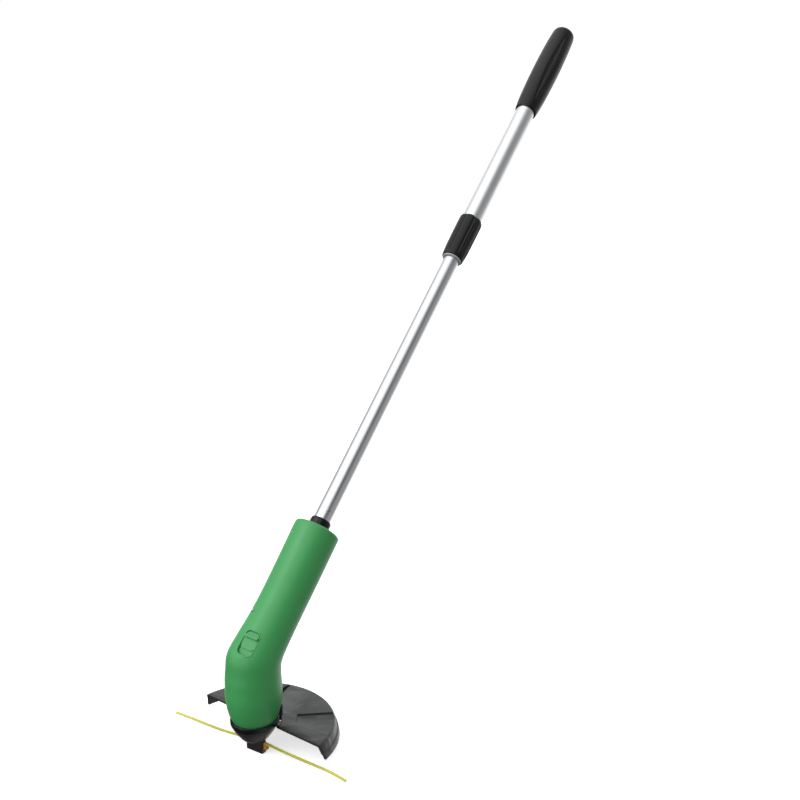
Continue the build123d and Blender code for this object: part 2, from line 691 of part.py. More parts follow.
with BuildPart() as pole_socket:
    add(pole_turned([(6, SOCKET_FOOT), (SOCKET_R, SOCKET_FOOT), (SOCKET_R, HEAD_TOP), (15.8, HEAD_TOP),
                     (15.8, HEAD_TOP + 2), (15.4, HEAD_TOP + 2.4), (NECK_R, HEAD_TOP + 2.4),
                     (NECK_R, NUT_TOP - 3.5), (BORE_R, NUT_TOP - 3.5),
                     (BORE_R, LOWER_TUBE_FOOT - 0.1), (6, LOWER_TUBE_FOOT - 0.1)]))
save(pole_socket, "pole_socket")

with BuildPart() as socket_collar:
    add(pole_turned([(NECK_R + 0.06, HEAD_TOP + 2.5), (11.7, HEAD_TOP + 2.5), (12.1, HEAD_TOP + 4),
                     (12.1, NUT_TOP - 2.0), (11.5, NUT_TOP - 0.6), (10.9, NUT_TOP), (BORE_R, NUT_TOP),
                     (BORE_R, NUT_TOP - 3.2), (NECK_R + 0.06, NUT_TOP - 3.2)]))
save(socket_collar, "socket_collar")

SNAP_DISTANCE = 179.0
SNAP_TURN = 54.0
snap_out = outward * cos(radians(SNAP_TURN)) + Vector(sin(radians(SNAP_TURN)), 0, 0)
SNAP_R = 2.2


def snap_plane(distance, radius):
    return Plane(elbow + along * distance + snap_out * radius, x_dir=along, z_dir=snap_out)


with BuildPart() as lower_tube:
    with BuildSketch(pole_plane(LOWER_TUBE_FOOT)):
        Circle(LOWER_TUBE_R)
        Circle(LOWER_TUBE_R - LOWER_TUBE_WALL, mode=Mode.SUBTRACT)
    extrude(amount=LOWER_TUBE_TOP - LOWER_TUBE_FOOT)
    with BuildSketch(snap_plane(SNAP_DISTANCE, 5)):
        Circle(SNAP_R + 0.15)
    extrude(amount=10, mode=Mode.SUBTRACT)
save(lower_tube, "lower_tube")

with BuildPart() as lower_tube_bush:
    inner = LOWER_TUBE_R - LOWER_TUBE_WALL - 0.02
    bore = UPPER_TUBE_R - UPPER_TUBE_WALL - RUNNING
    add(pole_turned([(6.5, LOWER_TUBE_TOP - 14), (inner, LOWER_TUBE_TOP - 14), (inner, LOWER_TUBE_TOP),
                     (bore - 0.3, LOWER_TUBE_TOP), (bore, LOWER_TUBE_TOP + 0.8), (bore, LOWER_TUBE_TOP + 10),
                     (bore - 1, LOWER_TUBE_TOP + 12), (6.5, LOWER_TUBE_TOP + 12)]))
save(lower_tube_bush, "lower_tube_bush")

with BuildPart() as snap_button:
    with BuildSketch(snap_plane(SNAP_DISTANCE, 7.2)):
        Circle(SNAP_R)
    extrude(amount=3.9)
    fillet(snap_button.faces().sort_by(Axis(elbow, snap_out))[-1].edges(), 0.8)
    with BuildSketch(snap_plane(SNAP_DISTANCE, 6.6)):
        Circle(3.0)
    extrude(amount=0.8)
save(snap_button, "snap_button")

with BuildPart() as snap_spring:
    with BuildSketch(Plane(elbow, x_dir=along, z_dir=along.cross(snap_out))):
        with BuildLine():
            Polyline((SNAP_DISTANCE - 3, 6.0), (SNAP_DISTANCE + 26, 6.0), (SNAP_DISTANCE + 31, 7.4),
                     (SNAP_DISTANCE + 31, 6.8), (SNAP_DISTANCE + 26, 5.4), (SNAP_DISTANCE - 3, 5.4), close=True)
        make_face()
    extrude(amount=2.4, both=True)
save(snap_spring, "snap_spring")

LOCK_R = 13.3
SLEEVE_TOP = 603.0
COLLET_LIP = COLLAR_FOOT - 1.5
SLEEVE_BORE = UPPER_TUBE_R + 0.06
with BuildPart() as collet:
    add(pole_turned([(BORE_R, COLLET_LIP), (12.4, COLLET_LIP), (12.8, COLLET_LIP + 0.4), (12.8, COLLAR_FOOT - 0.2),
                     (11.9, COLLAR_FOOT - 0.2), (11.9, 567.0), (BORE_R, 567.0)]))
    for quarter in (0, 90):
        with BuildSketch(pole_plane(COLLAR_FOOT + 4).rotated((0, 0, quarter))):
            Rectangle(40, 1.6)
        extrude(amount=40, mode=Mode.SUBTRACT)
save(collet, "collet")

with BuildPart() as lock_sleeve:
    add(pole_turned([(12.1, 561), (LOCK_R, 561), (LOCK_R, SLEEVE_TOP), (SLEEVE_BORE, SLEEVE_TOP),
                     (SLEEVE_BORE, 567.4), (12.1, 567.4)]))
save(lock_sleeve, "lock_sleeve")

GRIP_GROOVES = 8
with BuildPart() as twist_collar:
    with BuildSketch(pole_profile_plane()):
        with BuildLine():
            Line((12.3, COLLAR_FOOT), (13.7, COLLAR_FOOT))
            Spline((13.7, COLLAR_FOOT), (14.7, 551), (15.2, 564), (15.45, 584), (15.5, 601))
            Polyline((15.5, 601), (15.2, 604.5), (14.2, COLLAR_TOP), (SLEEVE_BORE + 0.04, COLLAR_TOP),
                     (SLEEVE_BORE + 0.04, SLEEVE_TOP + 0.4), (LOCK_R + RUNNING, SLEEVE_TOP + 0.4),
                     (LOCK_R + RUNNING, 560), (12.3, 556), (12.3, COLLAR_FOOT))
        make_face()
    revolve(axis=pole_axis)
    with BuildSketch(pole_plane(549)):
        with PolarLocations(16.0, GRIP_GROOVES):
            Circle(1.5)
    extrude(amount=80, mode=Mode.SUBTRACT)
save(twist_collar, "twist_collar")

with BuildPart() as upper_tube:
    with BuildSketch(pole_plane(UPPER_TUBE_FOOT)):
        Circle(UPPER_TUBE_R)
        Circle(UPPER_TUBE_R - UPPER_TUBE_WALL, mode=Mode.SUBTRACT)
    extrude(amount=UPPER_TUBE_TOP - UPPER_TUBE_FOOT)
save(upper_tube, "upper_tube")

with BuildPart() as tube_plug:
    add(pole_turned([(0, UPPER_TUBE_TOP - 10), (11.4, UPPER_TUBE_TOP - 10), (11.4, UPPER_TUBE_TOP),
                     (0, UPPER_TUBE_TOP)]))
save(tube_plug, "tube_plug")

with BuildPart() as grip:
    with BuildSketch(pole_profile_plane()):
        with BuildLine():
            Line((14.4, GRIP_FOOT), (14.9, GRIP_FOOT))
            Spline((14.9, GRIP_FOOT), (15.8, 808), (16.9, 824), (17.7, 845), (18.15, 872), (17.85, 898),
                   (17.0, 925), (15.8, 944))
            ThreePointArc((15.8, 944), (13.6, 949.6), (8.0, GRIP_TOP))
            Polyline((8.0, GRIP_TOP), (0, GRIP_TOP), (0, UPPER_TUBE_TOP + 0.2), (SLEEVE_BORE, UPPER_TUBE_TOP + 0.2),
                     (SLEEVE_BORE, GRIP_FOOT + 6), (14.4, GRIP_FOOT + 6), (14.4, GRIP_FOOT))
        make_face()
    revolve(axis=pole_axis)
save(grip, "grip")
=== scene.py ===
"""Looks of a cordless string trimmer: battery head, half-moon guard, cable-tie cutter and telescopic pole.

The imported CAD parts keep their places. This add-on gives them their finishes, and models the grip, the
lock collar, the cable ties, the guard and the small mouldings again with the shape that shows.
Lengths in the tables are millimetres; Blender works in metres.
"""

import json
from math import atan2, cos, degrees, pi, radians, sin

import bmesh
import bpy
from mathutils import Matrix, Vector

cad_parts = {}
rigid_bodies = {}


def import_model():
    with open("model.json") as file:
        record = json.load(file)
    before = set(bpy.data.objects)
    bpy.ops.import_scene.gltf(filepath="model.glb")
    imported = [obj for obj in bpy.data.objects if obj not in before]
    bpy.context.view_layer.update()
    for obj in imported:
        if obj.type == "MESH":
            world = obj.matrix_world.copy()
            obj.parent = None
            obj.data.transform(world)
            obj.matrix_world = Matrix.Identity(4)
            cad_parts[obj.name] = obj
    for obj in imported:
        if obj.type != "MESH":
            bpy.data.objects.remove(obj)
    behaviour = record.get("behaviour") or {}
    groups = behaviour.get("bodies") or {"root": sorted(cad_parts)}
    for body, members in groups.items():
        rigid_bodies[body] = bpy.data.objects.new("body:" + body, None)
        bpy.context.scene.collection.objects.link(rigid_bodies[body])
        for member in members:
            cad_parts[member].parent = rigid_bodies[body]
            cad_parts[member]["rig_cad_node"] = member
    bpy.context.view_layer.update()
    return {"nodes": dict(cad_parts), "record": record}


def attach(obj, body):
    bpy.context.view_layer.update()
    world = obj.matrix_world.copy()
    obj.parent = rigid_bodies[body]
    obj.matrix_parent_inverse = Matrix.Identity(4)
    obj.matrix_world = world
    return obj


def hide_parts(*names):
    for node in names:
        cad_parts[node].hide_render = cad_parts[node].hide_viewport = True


bl_info = {
    "name": "String trimmer looks",
    "version": (1, 0, 0),
    "blender": (4, 5, 0),
    "location": "3D View > Sidebar > Trimmer",
    "description": "Finishes and detailed mouldings for a battery string trimmer",
    "category": "Object",
}

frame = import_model()

MM = 0.001
LEAN = radians(42.5)
ELBOW = Vector((0, 0, 107.3 * MM))
ALONG = Vector((0, sin(LEAN), cos(LEAN)))
OUTWARD = Vector((0, -cos(LEAN), sin(LEAN)))
SIDE = Vector((1, 0, 0))
POLE = Matrix.Translation(ELBOW) @ Matrix((OUTWARD, SIDE, ALONG)).transposed().to_4x4()
LINE_TURN = radians(4.6)


def linear(colour):
    """The linear colour of an sRGB hex value."""
    channels = [int(colour[i:i + 2], 16) / 255 for i in (0, 2, 4)]
    return tuple(c / 12.92 if c <= 0.04045 else ((c + 0.055) / 1.055) ** 2.4 for c in channels)


def rgba(colour):
    """A colour with full alpha."""
    return (*colour, 1.0)


def hue(name, colour, text):
    """A colour property whose default is an sRGB hex value."""
    return bpy.props.FloatVectorProperty(name=name, description=text, subtype="COLOR", size=3, min=0, max=1,
                                         default=linear(colour))


class TrimmerColours(bpy.types.PropertyGroup):
    """Colours of the mouldings and metals."""
    housing: hue("Housing", "46A35E", "Green of the moulded housing")
    housing_dark: hue("Housing, deeper", "3C9853", "Green where the moulding is thicker")
    guard: hue("Guard", "28292C", "Grey black of the guard")
    spindle: hue("Spindle", "342E2F", "Brown black of the spindle bowl")
    black: hue("Black mouldings", "0E0E0F", "Black of the socket and other small mouldings")
    collar: hue("Lock collar", "141516", "Black of the lock collar")
    grip: hue("Grip", "151618", "Black of the hand grip")
    tie: hue("Cable tie", "E3E07A", "Yellow of the thin strap")
    tie_thick: hue("Cable tie, thick", "E2951A", "Amber where the nylon is thick")
    aluminium: hue("Aluminium", "D9DBDE", "Drawn and anodised tube")


class TrimmerSizes(bpy.types.PropertyGroup):
    """Sizes of the modelled detail, in metres."""
    grip_groove: bpy.props.FloatProperty(name="Grip groove depth", default=1.1 * MM, unit="LENGTH",
                                         description="Depth of the long hollows in the grip")
    collar_groove: bpy.props.FloatProperty(name="Collar groove depth", default=0.9 * MM, unit="LENGTH",
                                           description="Depth of the hollows between the collar's pads")
    tooth: bpy.props.FloatProperty(name="Tie tooth pitch", default=1.3 * MM, unit="LENGTH",
                                   description="Pitch of the teeth on the cable ties")
    edge: bpy.props.FloatProperty(name="Moulded edge", default=0.45 * MM, unit="LENGTH",
                                  description="Radius of the softened moulded edges")


# ---- materials ----------------------------------------------------------------------------------
def put(tree, kind, values=None, **settings):
    """Adds one node. Each value is a number, a colour or the output socket that feeds the input."""
    made = tree.nodes.new(kind)
    for name, value in settings.items():
        setattr(made, name, value)
    for name, value in (values or {}).items():
        if isinstance(value, bpy.types.NodeSocket):
            tree.links.new(value, made.inputs[name])
        else:
            made.inputs[name].default_value = value
    return made


def new_material(name):
    """An empty node material, its tree and its Principled shader."""
    material = bpy.data.materials.new(name)
    material.use_nodes = True
    tree = material.node_tree
    tree.nodes.clear()
    shader = put(tree, "ShaderNodeBsdfPrincipled")
    put(tree, "ShaderNodeOutputMaterial", {"Surface": shader.outputs["BSDF"]})
    return material, tree, shader


def uneven(tree, noise, roughness, spread):
    """A roughness that follows a slow noise, spread about its mean."""
    return put(tree, "ShaderNodeMapRange", {"Value": noise.outputs["Fac"], "From Min": 0.3, "From Max": 0.7,
                                            "To Min": roughness - spread / 2, "To Max": roughness + spread / 2})


def wire(tree, shader, tint, gloss, bump):
    """Links the colour, the roughness and the bump to the shader."""
    tree.links.new(tint.outputs["Result"], shader.inputs["Base Color"])
    tree.links.new(gloss.outputs["Result"], shader.inputs["Roughness"])
    tree.links.new(bump.outputs["Normal"], shader.inputs["Normal"])


GLOSS_SPREAD = 0.08


def moulded(name, colour, deeper, roughness, grain, grain_depth, sheen_patch=40.0, swell=0.0, **fixed):
    """A moulded plastic: slow colour drift, a spark-eroded grain of that size in mm, and uneven gloss.

    A swell is the width in mm of the slow waves that a thin panel shows where it has shrunk.
    """
    material, tree, shader = new_material(name)
    spot = put(tree, "ShaderNodeTexCoord").outputs["Object"]
    drift = put(tree, "ShaderNodeTexNoise", {"Vector": spot, "Scale": 1 / (sheen_patch * MM), "Detail": 2.0})
    tint = put(tree, "ShaderNodeMix", {"Factor": drift.outputs["Fac"], "A": rgba(colour), "B": rgba(deeper)},
               data_type="RGBA")
    grain_noise = put(tree, "ShaderNodeTexNoise",
                      {"Vector": spot, "Scale": 1 / (grain * MM), "Detail": 3.0, "Roughness": 0.6})
    gloss = uneven(tree, drift, roughness, GLOSS_SPREAD)
    bump = put(tree, "ShaderNodeBump", {"Height": grain_noise.outputs["Fac"], "Strength": 0.5,
                                        "Distance": grain_depth * MM})
    if swell:
        waves = put(tree, "ShaderNodeTexNoise", {"Vector": spot, "Scale": 1 / (swell * MM), "Detail": 1.0,
                                                 "Distortion": 0.6})
        bump = put(tree, "ShaderNodeBump", {"Height": waves.outputs["Fac"], "Strength": 0.8,
                                            "Distance": swell * MM / 12, "Normal": bump.outputs["Normal"]})
    wire(tree, shader, tint, gloss, bump)
    for socket, value in fixed.items():
        shader.inputs[socket].default_value = value
    return material


GUARD_HUB_R = 30.0


def polish_and_shade_hub(material, radius, colour, roughness):
    """Makes a moulding glossier within that radius in mm of the spindle's axis, and darker there: partly its own
    black, partly painted shade.
    """
    tree = material.node_tree
    shader = next(n for n in tree.nodes if n.type == "BSDF_PRINCIPLED")
    spot = put(tree, "ShaderNodeTexCoord").outputs["Object"]
    flat = put(tree, "ShaderNodeVectorMath", {0: spot, 1: (1, 1, 0)}, operation="MULTIPLY")
    reach = put(tree, "ShaderNodeVectorMath", {0: flat.outputs["Vector"]}, operation="LENGTH").outputs["Value"]
    # Inside the radius the colour darkens: partly the ring's own black, partly painted shade of the gap round the
    # barrel's foot.
    hub_gloss_and_shade = put(tree, "ShaderNodeMapRange", {"Value": reach, "From Min": (radius + 0.5) * MM,
                                           "From Max": (radius - 0.5) * MM}).outputs["Result"]
    base, gloss = (shader.inputs[name].links[0].from_socket for name in ("Base Color", "Roughness"))
    tint = put(tree, "ShaderNodeMix", {"Factor": hub_gloss_and_shade, "A": base, "B": rgba(colour)}, data_type="RGBA")
    smoothness = put(tree, "ShaderNodeMix", {"Factor": hub_gloss_and_shade, "A": gloss, "B": roughness})
    tree.links.new(tint.outputs["Result"], shader.inputs["Base Color"])
    tree.links.new(smoothness.outputs["Result"], shader.inputs["Roughness"])


def drawn_metal(name, colour, roughness, line, turn=(0.0, 0.0, 0.0), stretch=60.0, depth=0.006):
    """A drawn or turned metal: fine lines of that spacing in mm, long along the turned pattern's z axis."""
    material, tree, shader = new_material(name)
    spot = put(tree, "ShaderNodeTexCoord").outputs["Object"]
    turned = put(tree, "ShaderNodeMapping", {"Vector": spot, "Rotation": turn})
    long = put(tree, "ShaderNodeMapping", {"Vector": turned.outputs["Vector"], "Scale": (1, 1, 1 / stretch)})
    lines = put(tree, "ShaderNodeTexNoise", {"Vector": long.outputs["Vector"], "Scale": 1 / (line * MM),
                                             "Detail": 4.0, "Roughness": 0.65})
    smudge = put(tree, "ShaderNodeTexNoise", {"Vector": spot, "Scale": 1 / (30 * MM), "Detail": 3.0})
    gloss = uneven(tree, smudge, roughness, GLOSS_SPREAD)
    shade = put(tree, "ShaderNodeMapRange", {"Value": lines.outputs["Fac"], "To Min": 0.88, "To Max": 1.0})
    tint = put(tree, "ShaderNodeMix", {"Factor": 1.0, "A": rgba(colour), "B": shade.outputs["Result"]},
               data_type="RGBA", blend_type="MULTIPLY")
    bump = put(tree, "ShaderNodeBump", {"Height": lines.outputs["Fac"], "Strength": 0.35, "Distance": depth * MM})
    wire(tree, shader, tint, gloss, bump)
    shader.inputs["Metallic"].default_value = 1.0
    return material


def make_materials(colours):
    """One finish for each material slot of the record, keyed by the slot's name."""
    made = {}
    # ABS, injection moulded with a satin mould: even green with a broad soft highlight.
    made["green_abs"] = moulded("Satin moulded ABS green", colours.housing, colours.housing_dark, 0.40, 0.45, 0.02,
                                sheen_patch=55, **{"Specular IOR Level": 0.36, "Coat Weight": 0.06,
                                                   "Coat Roughness": 0.22})
    # Polypropylene, spark textured: grey black with a dull broad sheen.
    made["guard_moulding"] = moulded("Textured moulded polypropylene", colours.guard, linear("1E1F21"), 0.34, 0.7,
                                     0.03, sheen_patch=18, swell=22.0,
                                     **{"Specular IOR Level": 0.55})
    # The ring round the barrel's foot is polished in the same mould; its darker colour is partly its own black and
    # partly painted shade of the gap under the housing.
    polish_and_shade_hub(made["guard_moulding"], GUARD_HUB_R, linear("0C0C0D"), 0.2)
    # Glass-filled nylon, moulded: brown black and nearly glossy.
    made["spindle_moulding"] = moulded("Glossy moulded glass-filled nylon", colours.spindle, linear("2B2728"), 0.26,
                                       0.5, 0.012, sheen_patch=15, **{"Specular IOR Level": 0.4})
    made["black_moulding"] = moulded("Polished moulded black ABS", colours.black, linear("0A0A0B"), 0.22, 0.5, 0.01,
                                     sheen_patch=12, **{"Specular IOR Level": 0.3})
    # Moulded nylon with a fine leather grain.
    made["collar_moulding"] = moulded("Grained moulded nylon", colours.collar, linear("0E0F10"), 0.34, 1.0, 0.10,
                                      sheen_patch=14, **{"Specular IOR Level": 0.28})
    # Thermoplastic elastomer, moulded: soft grain that turns grey where the light rakes it.
    made["grip_moulding"] = moulded("Grained moulded elastomer", colours.grip, linear("0E0F10"), 0.36, 1.1, 0.10,
                                    sheen_patch=20, **{"Specular IOR Level": 0.28, "Sheen Weight": 0.03,
                                                       "Sheen Roughness": 0.4})
    # Nylon 6/6, moulded natural with yellow dye: slightly translucent and waxy.
    made["yellow_nylon"] = moulded("Dyed moulded nylon yellow", colours.tie, linear("D2CC55"), 0.35, 0.4, 0.01,
                                   sheen_patch=8, **{"Subsurface Weight": 0.15, "Subsurface Scale": 0.0015})
    made["grey_nylon"] = moulded("Moulded acetal light grey", linear("B9BBBC"), linear("A8AAAB"), 0.4, 0.5, 0.01)
    made["cell_wrap"] = moulded("Shrunk PVC wrap", linear("2A4A7A"), linear("243F69"), 0.3, 0.6, 0.01)
    made["red_lead"] = moulded("Extruded PVC red", linear("A81C1C"), linear("931717"), 0.4, 0.4, 0.01)
    made["black_lead"] = moulded("Extruded PVC black", linear("141414"), linear("0E0E0E"), 0.4, 0.4, 0.01)
    # Sintered bronze: matt and full of fine pores.
    made["sintered_bronze"] = drawn_metal("Sintered bronze", linear("A97F4F"), 0.5, 0.25, stretch=1, depth=0.02)
    # Zinc plated steel, cold headed.
    made["steel_screws"] = drawn_metal("Cold-headed steel, zinc plated", linear("A9ABAE"), 0.28, 0.2, stretch=3)
    made["spring_metal"] = drawn_metal("Stamped spring steel, nickel plated", linear("C4C5C3"), 0.25, 0.2)
    made["motor_steel"] = drawn_metal("Deep-drawn steel, zinc plated", linear("B9BBBD"), 0.32, 0.3)
    # Drawn aluminium, satin anodised: soft long lines up the tube.
    made["satin_aluminium"] = drawn_metal("Drawn aluminium, satin anodised", colours.aluminium, 0.24, 0.25,
                                          turn=(LEAN, 0, 0))
    made["bright_aluminium"] = drawn_metal("Drawn aluminium, bright anodised", linear("E8EAEC"), 0.30, 0.3,
                                           turn=(LEAN, 0, 0))
    return made


MATERIALS = {}


def give_finish(piece, slot):
    """The piece takes one of the record's slots and its material."""
    piece.data.materials.clear()
    piece.data.materials.append(MATERIALS[slot])


# ---- modelling helpers --------------------------------------------------------------------------
def alone(piece):
    """Selects one object and nothing else."""
    bpy.ops.object.select_all(action="DESELECT")
    piece.select_set(True)
    bpy.context.view_layer.objects.active = piece


def place(piece, matrix):
    """Moves a finished mesh to its place in the row frame and leaves the object at the origin."""
    piece.matrix_world = matrix
    alone(piece)
    bpy.ops.object.transform_apply(location=True, rotation=True, scale=True)


def apply_all(piece):
    """Applies the piece's modifiers in order."""
    alone(piece)
    for modifier in list(piece.modifiers):
        bpy.ops.object.modifier_apply(modifier=modifier.name)


def clean(piece):
    """Merges doubles and turns the faces outwards."""
    alone(piece)
    bpy.ops.object.mode_set(mode="EDIT")
    bpy.ops.mesh.select_all(action="SELECT")
    bpy.ops.mesh.remove_doubles(threshold=0.02 * MM)
    bpy.ops.mesh.normals_make_consistent(inside=False)
    bpy.ops.object.mode_set(mode="OBJECT")


def smooth(piece, angle):
    """Smooth shading across every edge flatter than the angle in degrees."""
    alone(piece)
    bpy.ops.object.shade_smooth_by_angle(angle=radians(angle))


def round_shell(name, profile, sides):
    """A circle drawn up through (height, radius) pairs in mm. A last radius of 0 closes on a pole."""
    bpy.ops.object.select_all(action="DESELECT")
    height, radius = profile[0]
    bpy.ops.mesh.primitive_circle_add(vertices=sides, radius=radius * MM, location=(0, 0, height * MM))
    piece = bpy.context.object
    piece.name = name
    bpy.ops.object.transform_apply(location=True, rotation=True, scale=True)
    bpy.ops.object.mode_set(mode="EDIT")
    bpy.ops.mesh.select_all(action="SELECT")
    for next_height, next_radius in profile[1:]:
        rise = (0, 0, (next_height - height) * MM)
        bpy.ops.mesh.extrude_edges_move(TRANSFORM_OT_translate={"value": rise})
        if next_radius == 0:
            bpy.ops.mesh.merge(type="CENTER")
            break
        share = next_radius / radius
        bpy.ops.transform.resize(value=(share, share, 1), center_override=(0, 0, next_height * MM))
        height, radius = next_height, next_radius
    bpy.ops.object.mode_set(mode="OBJECT")
    clean(piece)
    return piece


def rows_between(points, step):
    """More (height, radius) pairs on a smooth line through the given ones, about a step apart."""
    found = []
    for i in range(len(points) - 1):
        before = points[max(i - 1, 0)]
        first, last = points[i], points[i + 1]
        after = points[min(i + 2, len(points) - 1)]
        count = max(1, round(abs(last[0] - first[0]) / step))
        for k in range(count):
            t = k / count
            found.append(tuple(0.5 * (2 * b + (c - a) * t + (2 * a - 5 * b + 4 * c - d) * t * t
                                      + (3 * b - a - 3 * c + d) * t ** 3)
                               for a, b, c, d in zip(before, first, last, after)))
    return found + [points[-1]]


def sink(piece, weight_at, depth):
    """Presses the surface in along its normals by depth times the weight at each point."""
    group = piece.vertex_groups.new(name="hollows")
    for vertex in piece.data.vertices:
        weight = weight_at(vertex.co)
        if weight > 0:
            group.add([vertex.index], weight, "REPLACE")
    press = piece.modifiers.new("press", "DISPLACE")
    press.vertex_group = group.name
    press.mid_level = 0
    press.strength = -depth
    apply_all(piece)
    piece.vertex_groups.clear()


def bump_shape(distance, half_width):
    """1 at the middle and 0 at the half width, with a round bottom and firm sides."""
    if abs(distance) >= half_width:
        return 0.0
    return min(1.0, 1.25 * (1 - (distance / half_width) ** 2) ** 0.75)


def round_edges(piece, width, segments, angle, shading):
    """Rounds the edges sharper than the angle in degrees, by that width in metres, and shades the piece."""
    edge = piece.modifiers.new("edge", "BEVEL")
    edge.width = width
    edge.segments = segments
    edge.limit_method = "ANGLE"
    edge.angle_limit = radians(angle)
    apply_all(piece)
    smooth(piece, shading)


def select_faces(piece, wanted):
    """Leaves the piece in edit mode with the faces selected that pass the test."""
    alone(piece)
    bpy.ops.object.mode_set(mode="EDIT")
    mesh = bmesh.from_edit_mesh(piece.data)
    for face in mesh.faces:
        face.select = wanted(face)
    bmesh.update_edit_mesh(piece.data)


def softened_copy(node, name, width):
    """A copy of a CAD node with its sharp moulded edges rounded."""
    piece = bpy.data.objects.new(name, frame["nodes"][node].data.copy())
    bpy.context.scene.collection.objects.link(piece)
    alone(piece)
    bpy.ops.object.mode_set(mode="EDIT")
    bpy.ops.mesh.select_all(action="SELECT")
    bpy.ops.mesh.remove_doubles(threshold=0.03 * MM)
    bpy.ops.object.mode_set(mode="OBJECT")
    round_edges(piece, width, 2, 38, 40)
    return piece


def settle(piece, body, slot, *nodes):
    """The piece rides on its body, takes its slot and stands for its CAD nodes."""
    give_finish(piece, slot)
    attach(piece, body)
    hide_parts(*nodes)


# ---- operators ----------------------------------------------------------------------------------
GRIP_PROFILE = [(800.0, 15.0), (804.5, 15.5), (813, 16.25), (824, 16.9), (838, 17.4), (852, 17.8), (872, 18.1),
                (888, 18.05), (898, 17.8), (914, 17.4), (930, 16.7), (944, 15.8)]
GRIP_END = [(946.3, 15.3), (948.0, 14.6), (949.2, 13.3), (949.8, 11.8), (949.8, 8.0), (949.6, 4.0), (949.5, 0)]
GRIP_SIDES = 144
GRIP_GROUPS = 3             # thin ridges round the grip, each with a hollow on both sides
GRIP_HOLLOWS = (808, 130)   # where the hollows start along the pole, and their length
HOLLOW_HALF = 10.5          # degrees round the pole, at the widest
RIDGE_HALF = 1.6
HOLLOW_FADE = 0.12          # share of the length over which a hollow runs out at each end
HOLLOW_FIRST = 56.0         # turn of the first thin ridge round the pole, degrees from the outward side


def turn_of(point):
    """Angle of a point round the pole in degrees."""
    return degrees(atan2(point.y, point.x))


def nearest_turn(angle, groups, first):
    """Angle from the nearest of several evenly spaced ridges."""
    pitch = 360 / groups
    return (angle - first + pitch / 2) % pitch - pitch / 2


class TRIMMER_OT_grip(bpy.types.Operator):
    """Model the hand grip with its pairs of long lens-shaped hollows"""
    bl_idname = "trimmer.grip"
    bl_label = "Hand grip"

    def execute(self, context):
        sizes = context.scene.trimmer_sizes
        foot = [(806.5, 12.85), (798.8, 12.9), (798.4, 13.3), (798.4, 14.4), (798.9, 14.8)]
        piece = round_shell("hand_grip", foot + rows_between(GRIP_PROFILE, 3.0) + GRIP_END, GRIP_SIDES)

        def hollow(point):
            start, length = GRIP_HOLLOWS
            share = (point.z / MM - start) / length
            if not 0 < share < 1:
                return 0.0
            reach = HOLLOW_HALF * sin(pi * share) ** 0.7
            middle = RIDGE_HALF + reach
            across = abs(nearest_turn(turn_of(point), GRIP_GROUPS, HOLLOW_FIRST))
            fade = min(1.0, share / HOLLOW_FADE, (1 - share) / HOLLOW_FADE)
            return bump_shape(across - middle, max(reach, 0.5)) * fade

        sink(piece, hollow, sizes.grip_groove)
        smooth(piece, 50)
        place(piece, POLE)
        settle(piece, "upper_pole", "grip_moulding", "grip")
        return {"FINISHED"}


COLLAR_PROFILE = [(543.4, 14.0), (547, 14.4), (552, 14.8), (560, 15.1), (575, 15.35), (590, 15.45), (601, 15.45)]
COLLAR_SIDES = 180
COLLAR_GROUPS = 6
COLLAR_BORE = 13.9          # the hollows leave the surface inside this radius alone
COLLAR_FADE = (544, 6)      # where the hollows start along the pole, and the length they run in over
COLLAR_HOLLOW = (7.0, 5.6)  # degrees from the ridge to a hollow's middle, and its half width


class TRIMMER_OT_collar(bpy.types.Operator):
    """Model the lock collar with broad pads, hollows and thin ridges"""
    bl_idname = "trimmer.collar"
    bl_label = "Lock collar"

    def execute(self, context):
        sizes = context.scene.trimmer_sizes
        foot = [(545.0, 12.35), (542.7, 12.4), (542.5, 12.7), (542.5, 13.3), (542.8, 13.7)]
        top = [(603.6, 15.3), (605.4, 14.8), (606.0, 14.2), (606.0, 12.85), (603.5, 12.78)]
        piece = round_shell("lock_collar_ribbed", foot + rows_between(COLLAR_PROFILE, 2.5) + top, COLLAR_SIDES)

        def hollow(point):
            height = point.z / MM
            if Vector((point.x, point.y)).length < COLLAR_BORE * MM:
                return 0.0
            start, run_in = COLLAR_FADE
            middle, half = COLLAR_HOLLOW
            across = abs(nearest_turn(turn_of(point), COLLAR_GROUPS, HOLLOW_FIRST))
            fade = min(1.0, max(0.0, (height - start) / run_in))
            return bump_shape(across - middle, half) * fade

        sink(piece, hollow, sizes.collar_groove)
        smooth(piece, 50)
        place(piece, POLE)
        settle(piece, "lock_collar", "collar_moulding", "twist_collar")
        return {"FINISHED"}


LINE = Matrix.Rotation(LINE_TURN, 4, "Z")
STRAP_Y = 0.6               # both straps lie this far behind the spindle's axis
STRAP_W = 3.6
STRAP_T = 1.1
STRAP_TIP = (1, 0.62, 0.8)  # the last section is narrower and thinner
HEAD_SIZE = (4.3, 4.9)      # along the strap and across it


